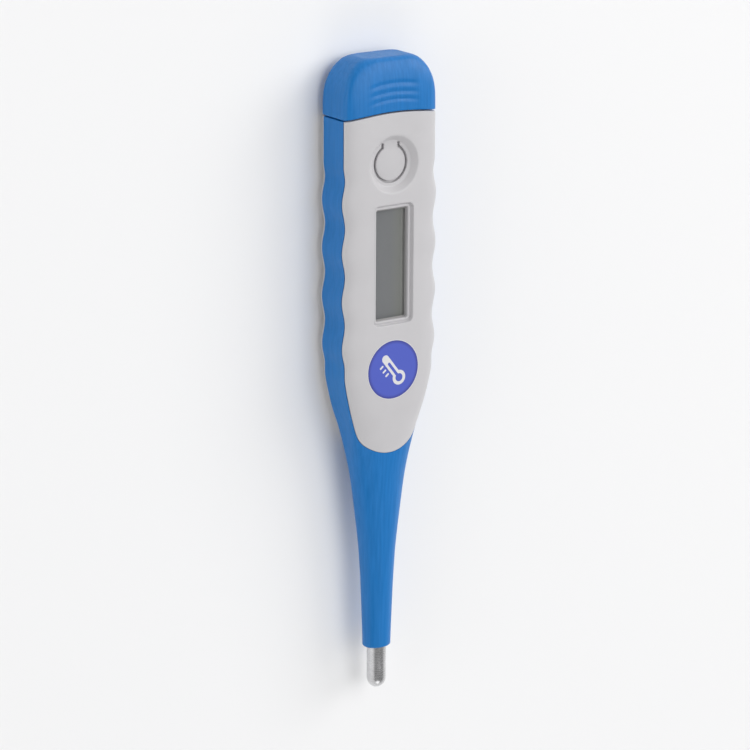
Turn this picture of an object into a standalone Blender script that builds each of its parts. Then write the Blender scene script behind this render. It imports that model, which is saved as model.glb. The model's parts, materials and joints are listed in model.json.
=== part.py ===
"""Digital thermometer with a flexible neck, built as separate pieces.

The thermometer lies on its back. +X runs from the steel tip to the battery end, +Z is the way the
display faces, and the origin is the middle of the resting face. Dimensions are in millimetres:
distances along the length count from the tip, and heights count from the middle plane.
The function at() turns them into Blender's metres.
"""
import math

import bmesh
import bpy
from mathutils import Vector

# Driving dimensions, in millimetres.
LENGTH = 134.0
THICKNESS = 11.0
GAP = 0.3                     # clearance between pieces that touch
THIN_GAP = 0.1                # clearance between the thin sheets of the display
PANEL_RISE = 0.4              # how far the label panel stands out of the back

# Outer form, as (distance from the tip, half width, half depth).
FORM = (
    (8.0, 3.05, 2.5),
    (18.0, 3.33, 2.72),
    (29.0, 3.9, 3.1),
    (40.0, 5.2, 3.65),
    (50.0, 6.7, 4.25),
    (57.0, 7.95, 4.8),
    (63.0, 9.45, 5.3),
    (71.0, 10.8, 5.5),
    (80.0, 11.0, 5.5),
    (122.0, 11.0, 5.5),
    (LENGTH, 11.0, 5.5),
)
ROUND_END = 45.0              # up to here the section is oval
BOXY_START = 70.0             # from here on it has straight sides
SIDE_HEIGHT = 3.2             # half height of the straight side of the body
CROWN_POWER = 3.0             # squareness of the crowned faces
OVAL_POWER = 2.1
CROWN_RISE = 0.12             # crown cut off flat on the two faces

# Label panel on the back, which the thermometer rests on.
PANEL_SPAN = (68.0, 119.0)
PANEL_HALF = 6.5

# Finger waves along the two sides.
WAVE_DEPTH = 0.37
WAVE_PITCH = 10.0
WAVE_BUMP = 75.3
WAVE_FADE_IN = (68.0, 74.0)
WAVE_FADE_OUT = (109.5, 114.0)

# Grey shells.
SKIN = 1.85
SHELL_TIP = 52.4
SHELL_END = 122.5
SHELL_TIP_RADIUS = 8.2
TUB_START = 62.6
TUB_WALL = 1.0
TUB_HALF = 8.3
TUB_INSET = 2.6
PARTING_GAP = 0.15
SPIGOT_END = 128.0
SPIGOT_HALF = 7.9
SPIGOT_HEIGHT = 3.5

# Battery cap.
CAP_ROUND_START = 124.0
CAP_ROUND_POWER = 2.5
CAP_END_SHARE = 0.55
CAP_CAVITY = (8.9, 4.4)
CAP_CAVITY_END = 129.5

# Display window, and the stack under it. Each sheet is given by its lowest and highest height.
DISPLAY_CENTRE = 92.0
WINDOW_HALF = (11.5, 3.85)
FRAME_HALF = (12.5, 4.85)
FRAME_CORNER = 1.3
LENS_POCKET = 4.5
LENS_HALF = (12.7, 5.1)
SEAL_SHEET = (4.2, 4.4)
LENS_SHEET = (3.65, 4.1)
POLARISER_SHEET = (3.35, 3.5)
FRONT_GLASS_SHEET = (2.75, 3.25)
REAR_GLASS_SHEET = (2.1, 2.6)
REFLECTOR_SHEET = (1.8, 1.95)
GLASS_SPAN = (77.4, 105.8)
GLASS_LEDGE = 2.8
GLASS_HALF = 5.9
HOLDER_WALL = 0.8

# Circuit board and what it carries.
BOARD_SPAN = (68.2, 117.5)
BOARD_HALF = 6.8
BOARD_SHEET = (0.6, 1.4)
SCREWS = ((71.6, 0.0), (109.0, 5.0), (109.0, -5.0))
SCREW_RADIUS = 0.75
SCREW_HEAD = 1.45
BUZZER_CENTRE = 88.0
CHIP_CENTRE = 101.0

# Power button.
BUTTON_CENTRE = 112.6
BUTTON_RADIUS = 3.6
BUTTON_STEM = 1.75
BUTTON_HINGE = 116.7
BUTTON_HINGE_HEIGHT = 4.0
BUTTON_SLOT = 0.35
BUTTON_POST_END = 2.4
DISH_RADIUS = 5.85
DISH_FLOOR_RADIUS = 4.5
DISH_DEPTH = 1.35

# Cell and its contacts.
CELL_CENTRE = 122.6
CELL_RADIUS = 3.95
CELL_HEIGHT = 3.6
TRAY_SPAN = (117.9, 127.4)
TRAY_HALF = 6.6
TRAY_HEIGHT = 3.5

# Flexible neck, probe tip and sensor lead.
NECK_HINGES = (41.0, 36.0, 31.0, 26.0, 21.0, 16.0)
UP_BEND = 15.0
SIDE_BEND = 10.0
NECK_END = 9.3
NECK_BORE = 1.3
HINGE_GAP = 0.15
TIP_LENGTH = 9.0
TIP_RADIUS = 2.0
TIP_WALL = 0.35
LEAD_HALF = (0.75, 0.4)
LEAD_END = 69.4


def at(distance, across=0.0, height=0.0):
    """A point in metres, from millimetres along, across and above the middle plane."""
    return Vector((distance - LENGTH / 2, across, height + THICKNESS / 2 + PANEL_RISE)) * 0.001


def smoothstep(low, high, value):
    share = min(max((value - low) / (high - low), 0.0), 1.0)
    return share * share * (3.0 - 2.0 * share)


def along_form(distance, column):
    """Half width (column 1) or half depth (column 2) of the form, on a smooth curve."""
    last = len(FORM) - 2
    index = max(0, min(last, sum(1 for row in FORM[1:-1] if row[0] <= distance)))
    low, high = FORM[index], FORM[index + 1]

    def rise(first, second):
        return (second[column] - first[column]) / (second[0] - first[0])

    def tangent(place):
        if place == 0 or place == len(FORM) - 1:
            return 0.0
        before = rise(FORM[place - 1], FORM[place])
        after = rise(FORM[place], FORM[place + 1])
        if before * after <= 0.0:
            return 0.0
        return 2.0 * before * after / (before + after)

    span = high[0] - low[0]
    share = (distance - low[0]) / span
    start = (1.0 + 2.0 * share) * (1.0 - share) ** 2 * low[column]
    end = share * share * (3.0 - 2.0 * share) * high[column]
    lead_out = share * (1.0 - share) ** 2 * span * tangent(index)
    lead_in = share * share * (share - 1.0) * span * tangent(index + 1)
    return start + end + lead_out + lead_in


def wave(distance):
    fade = smoothstep(*WAVE_FADE_IN, distance) * (1.0 - smoothstep(*WAVE_FADE_OUT, distance))
    return WAVE_DEPTH * fade * math.cos(2.0 * math.pi * (distance - WAVE_BUMP) / WAVE_PITCH)


def cap_share(distance):
    """How much of the full section is left, on the rounded battery end."""
    power = CAP_ROUND_POWER
    reach = (LENGTH - CAP_ROUND_START) / (1.0 - CAP_END_SHARE ** power) ** (1.0 / power)
    share = max(0.0, (distance - CAP_ROUND_START) / reach)
    return (1.0 - share ** power) ** (1.0 / power)


class Section:
    """The outer cross-section at one distance from the tip."""

    def __init__(self, distance):
        boxy = smoothstep(ROUND_END, BOXY_START, distance)
        share = cap_share(distance)
        self.distance = distance
        self.width = (along_form(distance, 1) + wave(distance)) * share
        self.depth = along_form(distance, 2) * share ** 0.6
        self.side = SIDE_HEIGHT * boxy * share
        self.power = OVAL_POWER + (CROWN_POWER - OVAL_POWER) * boxy
        self.rise = CROWN_RISE * boxy
        self.boxy = boxy

    def half_width_at(self, height):
        if height <= self.side:
            return self.width
        climb = (height - self.side) / (self.depth + self.rise - self.side)
        return self.width * (1.0 - climb ** self.power) ** (1.0 / self.power)

    def height_at(self, across):
        inward = max(0.0, 1.0 - abs(across / self.width) ** self.power) ** (1.0 / self.power)
        crown = self.side + (self.depth + self.rise - self.side) * inward
        return min(self.depth, crown)

    def ring(self, steps):
        """Points around the section, starting at +Y, with steps points in each quarter."""
        upper = [(self.width, 0.0)]
        for step in range(steps + 1):
            turn = 0.5 * math.pi * max(step, 0.5 - 0.5 * self.boxy) / steps
            across = self.width * max(0.0, math.cos(turn)) ** (2.0 / self.power)
            upper.append((across, self.height_at(across)))
        upper = upper + [(-across, height) for across, height in reversed(upper[:-1])]
        lower = [(-across, -height) for across, height in upper[1:-1]]
        return [at(self.distance, *point) for point in upper + lower]


def material(name, colour, roughness, metallic=0.0):
    found = bpy.data.materials.new(name)
    found.use_nodes = True
    shader = found.node_tree.nodes["Principled BSDF"]
    shader.inputs["Base Color"].default_value = (*colour, 1.0)
    shader.inputs["Roughness"].default_value = roughness
    shader.inputs["Metallic"].default_value = metallic
    return found


def place(name, mesh_work, finish, pivot=None):
    """Turn a bmesh into an object, with its origin on the pivot."""
    pivot = pivot or Vector((0.0, 0.0, 0.0))
    bmesh.ops.recalc_face_normals(mesh_work, faces=mesh_work.faces)
    bmesh.ops.translate(mesh_work, verts=mesh_work.verts, vec=-pivot)
    mesh = bpy.data.meshes.new(name)
    mesh_work.to_mesh(mesh)
    mesh_work.free()
    mesh.shade_smooth()
    mesh.set_sharp_from_angle(angle=math.radians(35.0))
    item = bpy.data.objects.new(name, mesh)
    item.location = pivot
    bpy.context.scene.collection.objects.link(item)
    if finish:
        mesh.materials.append(finish)
    return item


def loft(name, rings, finish=None, pivot=None):
    """A closed solid through rings of points."""
    work = bmesh.new()
    rows = [[work.verts.new(point) for point in ring] for ring in rings]
    for low, high in zip(rows, rows[1:]):
        for first in range(len(low)):
            second = (first + 1) % len(low)
            work.faces.new((low[first], low[second], high[second], high[first]))
    work.faces.new(rows[0])
    work.faces.new(rows[-1])
    return place(name, work, finish, pivot)


def tube(name, outer, inner, finish=None, pivot=None):
    """A closed solid between outer rings and as many inner rings, with flat or folded ends."""
    work = bmesh.new()
    loop = outer + list(reversed(inner))
    rows = [[work.verts.new(point) for point in ring] for ring in loop]
    for low, high in zip(rows, rows[1:] + rows[:1]):
        for first in range(len(low)):
            second = (first + 1) % len(low)
            work.faces.new((low[first], low[second], high[second], high[first]))
    return place(name, work, finish, pivot)


def rounded_rectangle(centre, half, corner, steps=3):
    """Outline points of a rectangle with round corners; a circle when corner equals half."""
    points = []
    for turn, (side_x, side_y) in enumerate(((1, 1), (-1, 1), (-1, -1), (1, -1))):
        for step in range(steps + 1):
            angle = math.radians(90.0 * (turn + step / steps))
            across = centre[0] + side_x * (half[0] - corner) + corner * math.cos(angle)
            along = centre[1] + side_y * (half[1] - corner) + corner * math.sin(angle)
            points.append((across, along))
    return points


def raised(outline, height):
    return [at(distance, across, height) for distance, across in outline]


def prism(name, outline, low, high, finish=None, pivot=None):
    return loft(name, (raised(outline, low), raised(outline, high)), finish, pivot)


def plan_tube(name, rim, hole, heights, finish):
    """An upright wall between two outlines, from the lowest to the highest of the heights."""
    outer = [raised(rim, level) for level in heights]
    inner = [raised(hole, level) for level in heights]
    return tube(name, outer, inner, finish)


def block(name, span, half, heights, corner=0.3, finish=None, centre=0.0):
    """A flat block with round corners, span along the length and half across."""
    middle = (0.5 * (span[0] + span[1]), centre)
    outline = rounded_rectangle(middle, (0.5 * (span[1] - span[0]), half), corner)
    return prism(name, outline, *heights, finish)


def turned(name, profile, centre, axis, finish=None, segments=20):
    """A turned solid. The profile lists (radius, along the axis) from one end to the other."""
    work = bmesh.new()
    rows = []
    for radius, along in profile:
        row = []
        for step in range(segments if radius > 0.0 else 1):
            angle = 2.0 * math.pi * step / segments
            first, second = radius * math.cos(angle), radius * math.sin(angle)
            offset = (along, first, second) if axis == "X" else (first, second, along)
            row.append(work.verts.new(at(*(a + b for a, b in zip(centre, offset)))))
        rows.append(row)
    closed = profile[0][0] > 0.0 and profile[-1][0] > 0.0
    for low, high in zip(rows, rows[1:] + (rows[:1] if closed else [])):
        for first in range(segments):
            second = (first + 1) % segments
            corners = [low[first % len(low)], low[second % len(low)]]
            corners += [high[second % len(high)], high[first % len(high)]]
            work.faces.new(list(dict.fromkeys(corners)))
    return place(name, work, finish)


def boolean(target, tool, operation):
    """Keep a Boolean modifier on the target; the tool is a hidden guide."""
    step = target.modifiers.new(f"{operation.lower()}_{tool.name}", "BOOLEAN")
    step.operation = operation
    step.solver = "EXACT"
    step.object = tool
    tool.hide_render = True
    tool.display_type = "WIRE"


def spread(low, high, count):
    return [low + (high - low) * step / count for step in range(count + 1)]


def wave_stations(first, last):
    """Distances close enough together to follow the waves, and wider apart elsewhere."""
    plain = spread(first, WAVE_FADE_IN[0], 6)
    waves = spread(WAVE_FADE_IN[0], WAVE_FADE_OUT[1], 36)
    return plain + waves[1:] + [last]


def shell_skin(name, side, margin=0.0, finish=None):
    """The crowned face plate of a shell; side is +1 in front and -1 at the back."""
    radius = SHELL_TIP_RADIUS + margin
    tip = SHELL_TIP - margin
    turns = [math.radians(angle) for angle in (5, 14, 24, 34, 45, 56)]
    round_part = [tip + radius * (1.0 - math.cos(turn)) for turn in turns]
    rings = []
    for distance in round_part + wave_stations(58.0, SHELL_END + 10.0 * margin):
        section = Section(distance)
        edge = section.depth - SKIN
        half = section.half_width_at(edge) + margin
        if distance < tip + radius:
            half = min(half, math.sqrt(radius ** 2 - (tip + radius - distance) ** 2))
        points = []
        for step in range(-7, 8):
            across = half * math.sin(0.5 * math.pi * step / 7)
            inner = math.copysign(min(abs(across), half - margin), across)
            points.append((across, section.height_at(inner) + 4.0 * margin))
        points += [(half, edge - margin), (-half, edge - margin)]
        rings.append([at(distance, across, side * height) for across, height in points])
    return loft(name, rings, finish)


def tub_outline(wall):
    """Plan of the inner tub of a shell, wall millimetres inside its outer face."""
    start = TUB_START + wall
    corners = [(start, 0.72 * (along_form(TUB_START, 1) - TUB_INSET - wall))]
    for distance in (TUB_START + 1.2, 67.0, 71.0):
        half = min(TUB_HALF, along_form(distance, 1) - TUB_INSET) - wall
        corners.append((max(distance, start + 0.2), half))
    corners.append((73.5, TUB_HALF - wall))
    corners.append((SHELL_END - 1.0, TUB_HALF - wall))
    corners = [(distance, round(half, 3)) for distance, half in corners]
    return corners + [(distance, -half) for distance, half in reversed(corners)]


def signed(side, low, high):
    return sorted((side * low, side * high))


def shell(name, side, finish):
    """A grey shell: the face plate, the tub inside it, and its half of the cap's spigot."""
    body = shell_skin(name, side, finish=finish)
    ceiling = THICKNESS / 2 - SKIN
    tub = prism(f"{name}_tub", tub_outline(0.0), *signed(side, PARTING_GAP, ceiling + 0.05))
    boolean(body, tub, "UNION")
    spigot_rings = []
    for distance, shrink in ((SHELL_END - 1.5, 0.0), (SPIGOT_END - 0.5, 0.0), (SPIGOT_END, 0.4)):
        half = SPIGOT_HALF - shrink
        top = SPIGOT_HEIGHT - shrink
        corners = ((half, PARTING_GAP), (half, top - 1.2), (half - 1.2, top))
        ring = list(corners) + [(-across, height) for across, height in reversed(corners)]
        spigot_rings.append([at(distance, across, side * height) for across, height in ring])
    boolean(body, loft(f"{name}_spigot", spigot_rings), "UNION")
    room = prism(f"{name}_room", tub_outline(TUB_WALL), *signed(side, -1.0, ceiling - 0.1))
    boolean(body, room, "DIFFERENCE")
    spigot_room = block(
        f"{name}_spigot_room",
        (SHELL_END - 4.0, SPIGOT_END + 2.0),
        SPIGOT_HALF - TUB_WALL,
        signed(side, -1.0, SPIGOT_HEIGHT - TUB_WALL),
    )
    boolean(body, spigot_room, "DIFFERENCE")
    lead_way = turned(
        f"{name}_lead_way",
        ((0.0, -2.0), (NECK_BORE, -2.0), (NECK_BORE, 2.0), (0.0, 2.0)),
        (TUB_START + 1.0, 0.0, 0.0),
        "X",
    )
    boolean(body, lead_way, "DIFFERENCE")
    return body


def window_outline(half, corner):
    return rounded_rectangle((DISPLAY_CENTRE, 0.0), half, corner)


def button_outline(margin, end):
    """Plan of the button tongue: a disc with a straight stem that ends beside its hinge."""
    radius = BUTTON_RADIUS + margin
    stem = BUTTON_STEM + margin
    join = math.asin(stem / radius)
    points = []
    for step in range(17):
        angle = join + (2.0 * math.pi - 2.0 * join) * step / 16
        points.append((BUTTON_CENTRE + radius * math.cos(angle), radius * math.sin(angle)))
    return points + [(end, -stem), (end, stem)]


def make_front_shell(finish):
    body = shell("front_shell", 1, finish)
    top = THICKNESS / 2
    rings = (
        raised(window_outline(WINDOW_HALF, 0.3), 2.0),
        raised(window_outline(WINDOW_HALF, 0.3), LENS_POCKET + 0.05),
        raised(window_outline(FRAME_HALF, FRAME_CORNER), top),
        raised(window_outline(FRAME_HALF, FRAME_CORNER), top + 1.0),
    )
    boolean(body, loft("display_frame_cut", rings), "DIFFERENCE")
    pocket_half = (LENS_HALF[0] + GAP, LENS_HALF[1] + GAP)
    pocket = prism("lens_pocket_cut", window_outline(pocket_half, 0.6), 2.0, LENS_POCKET)
    boolean(body, pocket, "DIFFERENCE")
    profile = (
        (0.0, -DISH_DEPTH),
        (DISH_FLOOR_RADIUS, -DISH_DEPTH),
        (DISH_FLOOR_RADIUS + 0.4, 0.12 - DISH_DEPTH),
        (DISH_RADIUS, 0.0),
        (DISH_RADIUS + 0.8, 0.6),
        (0.0, 0.6),
    )
    dish = turned("button_dish_cut", profile, (BUTTON_CENTRE, 0.0, top), "Z", segments=32)
    boolean(body, dish, "DIFFERENCE")
    slot_plan = button_outline(BUTTON_SLOT, BUTTON_HINGE + 0.5 * GAP)
    slot = prism("button_slot_cut", slot_plan, 2.0, top + 1.0)
    boolean(body, slot, "DIFFERENCE")
    return body


def make_back_shell(finish):
    body = shell("back_shell", -1, finish)
    floor = -(THICKNESS / 2 - SKIN)
    face = -(THICKNESS / 2 + PANEL_RISE)
    corners = [(end, side * PANEL_HALF) for end in PANEL_SPAN for side in (-1, 1)]
    plan = (corners[0], corners[1], corners[3], corners[2])
    boolean(body, prism("label_panel", plan, face, floor - 0.5), "UNION")
    for number, (distance, across) in enumerate(SCREWS, 1):
        profile = ((0.0, floor), (1.6, floor), (1.45, 0.3), (0.0, 0.3))
        boss = turned(f"screw_boss_{number}", profile, (distance, across, 0.0), "Z", segments=14)
        boolean(body, boss, "UNION")
        bore = SCREW_RADIUS + 0.2
        profile = ((0.0, floor + 0.6), (bore, floor + 0.6), (bore, 1.0), (0.0, 1.0))
        hole = turned(f"screw_bore_{number}", profile, (distance, across, 0.0), "Z", segments=14)
        boolean(body, hole, "DIFFERENCE")
    return body


def make_grip_sleeve(finish):
    """The soft blue band round the sides, in one piece with the root of the neck."""
    start = NECK_HINGES[0] + HINGE_GAP
    slope = math.tan(math.radians(0.5 * UP_BEND + 0.7))
    rings = [folded_ring(start, "Y", slope, 1.0)]
    for distance in spread(start + 2.0, 56.0, 5) + wave_stations(58.0, SHELL_END):
        rings.append(Section(distance).ring(6))
    body = loft("grip_sleeve", rings, finish)
    for side, word in ((1, "front"), (-1, "back")):
        boolean(body, shell_skin(f"{word}_inlay_cut", side, GAP), "DIFFERENCE")
    wide = [(distance, math.copysign(abs(half) + GAP, half)) for distance, half in tub_outline(0.0)]
    wide = [(distance + (GAP if distance > 75.0 else -GAP), half) for distance, half in wide]
    wide = [(distance + (3.0 if distance > 120.0 else 0.0), half) for distance, half in wide]
    boolean(body, prism("housing_room_cut", wide, -8.0, 8.0), "DIFFERENCE")
    profile = ((0.0, -15.0), (NECK_BORE, -15.0), (NECK_BORE, 15.0), (0.0, 15.0))
    bore = turned("neck_root_bore", profile, (52.0, 0.0, 0.0), "X", segments=16)
    boolean(body, bore, "DIFFERENCE")
    return body


def folded_ring(distance, axis, slope, way):
    """A section ring folded like a roof along the hinge axis, so that the neck can bend there."""
    points = Section(distance).ring(6)
    return [fold(point, axis, slope, way) for point in points]


def fold(point, axis, slope, way):
    middle = at(0.0, 0.0, 0.0)
    lever = abs(point.z - middle.z) if axis == "Y" else abs(point.y)
    return point + Vector((way * slope * lever, 0.0, 0.0))


def bore_ring(distance, count, axis=None, slope=0.0, way=1.0):
    points = []
    for step in range(count):
        angle = 2.0 * math.pi * step / count
        point = at(distance, NECK_BORE * math.cos(angle), NECK_BORE * math.sin(angle))
        points.append(fold(point, axis, slope, way) if axis else point)
    return points


def hinge_fold(number):
    """Axis of a neck hinge and the slope of the end faces beside it. The hinges alternate."""
    axis = "Y" if number % 2 == 0 else "Z"
    bend = UP_BEND if axis == "Y" else SIDE_BEND
    return axis, math.tan(math.radians(0.5 * bend + 0.7))


def make_neck_segment(number, finish):
    """Segment number counts from 0 at the body; it hangs on the hinge with the same number."""
    hinge = NECK_HINGES[number]
    axis, slope = hinge_fold(number)
    upper = hinge - HINGE_GAP
    outer = [folded_ring(upper, axis, slope, -1.0)]
    count = len(outer[0])
    inner = [bore_ring(upper, count, axis, slope, -1.0)]
    last = number == len(NECK_HINGES) - 1
    lower = NECK_END if last else NECK_HINGES[number + 1] + HINGE_GAP
    for distance in spread(upper - 1.3, lower + 1.3, 2):
        outer.append(Section(distance).ring(6))
        inner.append(bore_ring(distance, count))
    if last:
        outer.append(Section(lower).ring(6))
        inner.append(bore_ring(lower, count))
    else:
        axis, slope = hinge_fold(number + 1)
        outer.append(folded_ring(lower, axis, slope, 1.0))
        inner.append(bore_ring(lower, count, axis, slope, 1.0))
    return tube(f"neck_segment_{number + 1}", outer, inner, finish, at(hinge))


def make_lead(name, low, high, finish, pivot=None):
    """One stretch of the flat twin lead inside the neck."""
    rings = []
    for distance in (low, high):
        ring = []
        for step in range(10):
            angle = 2.0 * math.pi * step / 10
            across, height = LEAD_HALF[0] * math.cos(angle), LEAD_HALF[1] * math.sin(angle)
            ring.append(at(distance, across, height))
        rings.append(ring)
    return loft(name, rings, finish, pivot)


def make_neck(blue, copper):
    for number, hinge in enumerate(NECK_HINGES):
        make_neck_segment(number, blue)
        last = number == len(NECK_HINGES) - 1
        low = 3.2 if last else NECK_HINGES[number + 1] + 0.2
        make_lead(f"sensor_lead_{number + 1}", low, hinge - 0.2, copper, at(hinge))
    make_lead("sensor_lead_root", NECK_HINGES[0] + 0.2, LEAD_END, copper)


def make_probe_tip(steel, resin, bead):
    dome = 2.2
    outer = [(0.0, 0.0)]
    for angle in (20, 40, 60, 78, 90):
        turn = math.radians(angle)
        outer.append((TIP_RADIUS * math.sin(turn), dome * (1.0 - math.cos(turn))))
    outer.append((TIP_RADIUS, TIP_LENGTH))
    bore = TIP_RADIUS - TIP_WALL
    inner = [(bore, TIP_LENGTH), (bore, dome), (0.8 * bore, 1.0), (0.0, TIP_WALL)]
    turned("probe_tip", outer + inner, (0.0, 0.0, 0.0), "X", steel)
    ball = [(0.0, 0.8), (0.5, 1.0), (0.75, 1.7), (0.5, 2.5), (0.0, 2.8)]
    turned("thermistor", ball, (0.0, 0.0, 0.0), "X", bead, 12)
    plug = [(0.9, 3.1), (1.45, 3.1), (1.45, 8.6), (0.9, 8.6)]
    turned("tip_potting", plug, (0.0, 0.0, 0.0), "X", resin, 16)


def make_display(clear, foam, film, glass, silver, white, rubber):
    inner_half = (WINDOW_HALF[0] + 0.4, WINDOW_HALF[1] + 0.4)
    seal_rim = window_outline(LENS_HALF, 0.5)
    seal_hole = window_outline(inner_half, 0.5)
    plan_tube("window_seal", seal_rim, seal_hole, SEAL_SHEET, foam)
    prism("window_lens", window_outline(LENS_HALF, 0.5), *LENS_SHEET, clear)
    block("lcd_front_glass", GLASS_SPAN, GLASS_HALF, FRONT_GLASS_SHEET, 0.15, glass)
    cell_span = (GLASS_SPAN[0] + GLASS_LEDGE, GLASS_SPAN[1])
    block("lcd_rear_glass", cell_span, GLASS_HALF, REAR_GLASS_SHEET, 0.15, glass)
    sheet_span = (cell_span[0] + 0.3, cell_span[1] - 0.3)
    block("lcd_polariser", sheet_span, GLASS_HALF - 0.4, POLARISER_SHEET, 0.15, film)
    block("lcd_reflector", sheet_span, GLASS_HALF - 0.4, REFLECTOR_SHEET, 0.15, silver)
    strip = (GLASS_SPAN[0] + 0.3, GLASS_SPAN[0] + GLASS_LEDGE - 0.5)
    strip_heights = (BOARD_SHEET[1] + THIN_GAP, FRONT_GLASS_SHEET[0] - THIN_GAP)
    block("zebra_strip", strip, GLASS_HALF - 0.5, strip_heights, 0.2, rubber)
    middle = 0.5 * (GLASS_SPAN[0] + GLASS_SPAN[1])
    reach = 0.5 * (GLASS_SPAN[1] - GLASS_SPAN[0]) + GAP
    hole = rounded_rectangle((middle, 0.0), (reach, GLASS_HALF + GAP), 0.2)
    wall = (reach + HOLDER_WALL, GLASS_HALF + GAP + HOLDER_WALL)
    rim = rounded_rectangle((middle, 0.0), wall, 0.6)
    heights = (BOARD_SHEET[1] + GAP, POLARISER_SHEET[0] - THIN_GAP)
    plan_tube("lcd_holder", rim, hole, heights, white)


def make_board(green, black, ceramic, dark, steel):
    board = block("circuit_board", BOARD_SPAN, BOARD_HALF, BOARD_SHEET, 2.0, green)
    for number, (distance, across) in enumerate(SCREWS, 1):
        bore = SCREW_RADIUS + 0.3
        hole = turned(
            f"board_hole_{number}",
            ((0.0, -1.0), (bore, -1.0), (bore, 3.0), (0.0, 3.0)),
            (distance, across, 0.0),
            "Z",
            segments=14,
        )
        boolean(board, hole, "DIFFERENCE")
        seat = BOARD_SHEET[1] + THIN_GAP
        profile = (
            (0.0, -2.6),
            (0.35, -2.6),
            (SCREW_RADIUS, -2.0),
            (SCREW_RADIUS, seat),
            (SCREW_HEAD, seat),
            (SCREW_HEAD, seat + 0.4),
            (0.8, seat + 0.8),
            (0.0, seat + 0.8),
        )
        turned(f"board_screw_{number}", profile, (distance, across, 0.0), "Z", steel, 14)
    under = BOARD_SHEET[0] - THIN_GAP
    blob = ((0.0, under), (3.4, under), (3.1, under - 0.5), (2.0, under - 1.0), (0.0, under - 1.2))
    turned("chip_cover", blob, (CHIP_CENTRE, 0.0, 0.0), "Z", black)
    for number, across in ((1, -3.6), (2, 3.6)):
        block(f"capacitor_{number}", (77.0, 78.6), 0.4, (under - 0.8, under), 0.05, ceramic, across)
    block("reference_resistor", (74.0, 75.6), 0.4, (under - 0.45, under), 0.05, dark)


def make_switch_dome(steel):
    base = BOARD_SHEET[1] + THIN_GAP
    top = ((0.0, base + 0.42), (1.2, base + 0.36), (2.1, base + 0.2), (2.6, base))
    under = ((2.4, base), (1.9, base + 0.1), (1.1, base + 0.24), (0.0, base + 0.3))
    turned("switch_dome", top + under, (BUTTON_CENTRE, 0.0, 0.0), "Z", steel)


def make_power_button(grey):
    top = THICKNESS / 2 - DISH_DEPTH
    under = THICKNESS / 2 - SKIN
    hinge = at(BUTTON_HINGE, 0.0, BUTTON_HINGE_HEIGHT)
    plan = button_outline(0.0, BUTTON_HINGE - 0.5 * GAP)
    tongue = prism("power_button", plan, under, top, grey, hinge)
    profile = (
        (0.0, BUTTON_POST_END),
        (0.8, BUTTON_POST_END),
        (1.0, BUTTON_POST_END + 0.3),
        (1.0, under + 0.4),
        (0.0, under + 0.4),
    )
    post = turned("button_post", profile, (BUTTON_CENTRE, 0.0, 0.0), "Z", segments=14)
    boolean(tongue, post, "UNION")


def disc(name, radius, heights, finish):
    """A thin disc at the buzzer's place."""
    low, high = heights
    profile = ((0.0, low), (radius, low), (radius, high), (0.0, high))
    turned(name, profile, (BUZZER_CENTRE, 0.0, 0.0), "Z", finish, 28)


def make_buzzer(brass, ceramic, steel):
    disc("buzzer_plate", 6.0, (-3.4, -3.2), brass)
    disc("buzzer_ceramic", 4.4, (-3.1, -2.9), ceramic)
    wire = 0.2
    radius = 1.4
    turns = 3
    per_turn = 12
    low = -2.9 + THIN_GAP + wire
    high = BOARD_SHEET[0] - THIN_GAP - wire
    curve = bpy.data.curves.new("buzzer_spring", "CURVE")
    curve.dimensions = "3D"
    curve.bevel_depth = wire * 0.001
    curve.bevel_resolution = 1
    curve.use_fill_caps = True
    path = curve.splines.new("POLY")
    path.points.add(turns * per_turn)
    for step, point in enumerate(path.points):
        angle = 2.0 * math.pi * step / per_turn
        height = low + (high - low) * step / (turns * per_turn)
        place_at = at(BUZZER_CENTRE + radius * math.cos(angle), radius * math.sin(angle), height)
        point.co = (*place_at, 1.0)
    curve.materials.append(steel)
    bpy.context.scene.collection.objects.link(bpy.data.objects.new("buzzer_spring", curve))


def contact(name, start, foot, reach, finish):
    """A bent strip that stands on the board at its foot and reaches over or under the cell."""
    sheet = 0.25
    half = 1.6
    end = CELL_CENTRE + 2.0
    face = reach + math.copysign(sheet, reach)
    corner = start + sheet
    path = ((start, foot), (corner, foot), (corner, reach), (end, reach), (end, face), (start, face))
    rings = [[at(distance, across, height) for distance, height in path] for across in (-half, half)]
    return loft(name, rings, finish)


def make_battery(steel, plating, white):
    half = CELL_HEIGHT / 2
    can = (
        (0.0, -half),
        (3.3, -half),
        (3.4, -half + 0.35),
        (CELL_RADIUS - 0.2, -half + 0.35),
        (CELL_RADIUS, -half + 0.6),
        (CELL_RADIUS, half - 0.25),
        (CELL_RADIUS - 0.25, half),
        (0.0, half),
    )
    turned("coin_cell", can, (CELL_CENTRE, 0.0, 0.0), "Z", steel, 28)
    middle = (0.5 * (TRAY_SPAN[0] + TRAY_SPAN[1]), 0.0)
    rim = rounded_rectangle(middle, (0.5 * (TRAY_SPAN[1] - TRAY_SPAN[0]), TRAY_HALF), 0.5, 5)
    room = CELL_RADIUS + 0.2
    hole = rounded_rectangle((CELL_CENTRE, 0.0), (room, room), room, 5)
    plan_tube("battery_tray", rim, hole, (-TRAY_HEIGHT / 2, TRAY_HEIGHT / 2), white)
    reach = half + 0.15
    contact("contact_positive", 115.2, BOARD_SHEET[1] + 0.15, reach, plating)
    contact("contact_negative", 116.6, BOARD_SHEET[0] - 0.15, -reach, plating)


def end_outline(half, height, corner):
    """A rounded rectangle seen along the length, as (across, height)."""
    return rounded_rectangle((0.0, 0.0), (half, height), corner)


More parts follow.
